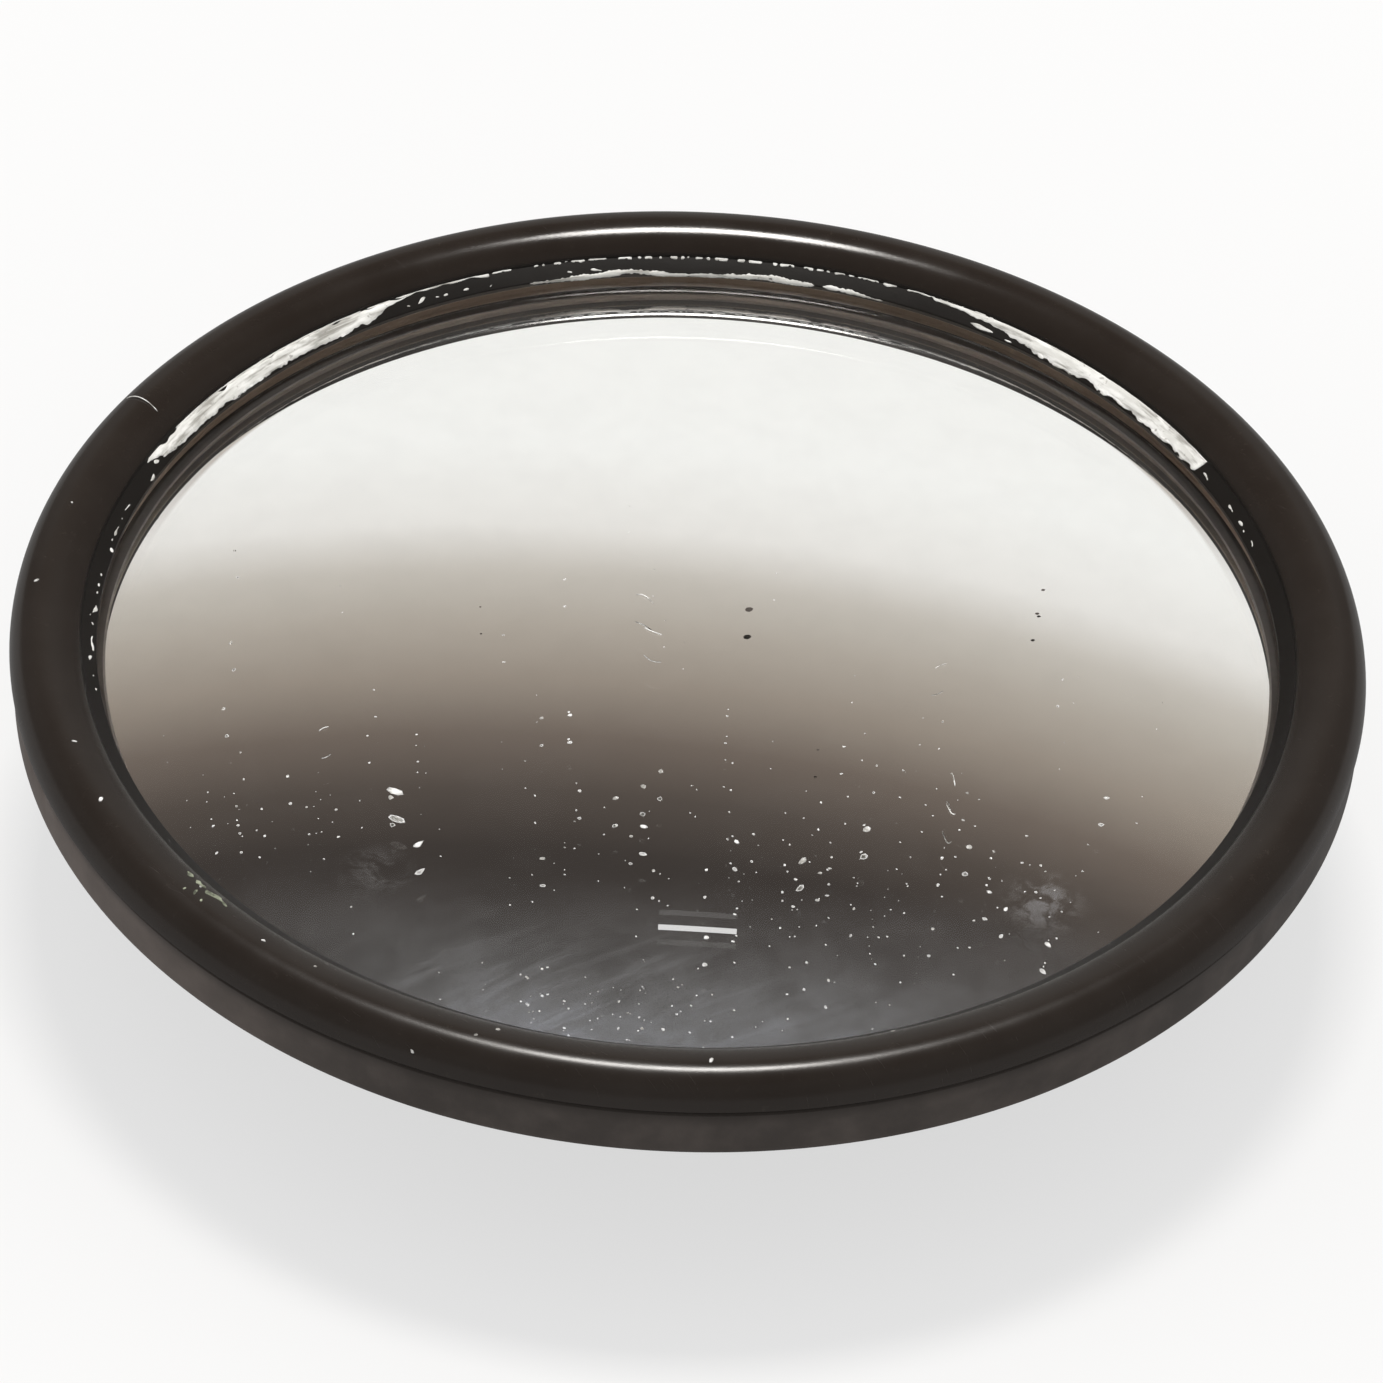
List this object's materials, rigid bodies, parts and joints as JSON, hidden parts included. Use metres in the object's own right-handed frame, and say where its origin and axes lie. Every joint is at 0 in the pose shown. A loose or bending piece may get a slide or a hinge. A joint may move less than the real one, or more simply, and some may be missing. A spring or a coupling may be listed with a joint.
{
  "type": "traffic convex mirror",
  "caption": "Small round stick-on convex mirror for blind spots, with a rolled black rim, a tilting head and a swivel foot on a foam tape pad.",
  "frame": {"origin": "middle of the foam tape's underside, which is the face that is stuck down", "axes": "+Z along the swivel axis, out of the glass; +X along the tilt hinge's pins; +Y completes the frame"},
  "size_m": [0.05, 0.05, 0.0118],
  "materials": {
    "black_plastic": "satin moulded black",
    "clear_glass": "polished, a little dusty",
    "silvering": "silvered, seen through the glass",
    "white_sealant": "ragged cured adhesive",
    "white_foam": "closed-cell foam",
    "grey_foam": "double-sided foam tape",
    "black_rubber": "matt",
    "plated_steel": "zinc plated"
  },
  "bodies": {
    "foot": {"mounting_tape": "grey_foam", "base_disc": "black_plastic", "friction_ring": "black_rubber", "pivot_washer": "plated_steel", "pivot_screw": "plated_steel"},
    "swivel": {"turntable": "black_plastic", "hinge_pin_left": "plated_steel", "hinge_pin_right": "plated_steel", "spring_washer_left": "plated_steel", "spring_washer_right": "plated_steel"},
    "head": {"housing_shell": "black_plastic", "bezel_ring": "black_plastic", "mirror_glass": "clear_glass", "mirror_coating": "silvering", "glass_sealant": "white_sealant", "glass_pad": "white_foam"}
  },
  "joints": [
    {"name": "swivel_spin", "type": "hinge", "parent": "foot", "child": "swivel", "pos_m": [0, 0, 0.00275], "axis": [0, 0, 1], "continuous": true},
    {"name": "head_tilt", "type": "hinge", "parent": "swivel", "child": "head", "pos_m": [0, 0, 0.0056], "axis": [1, 0, 0], "range_deg": [-15, 15]}
  ]
}
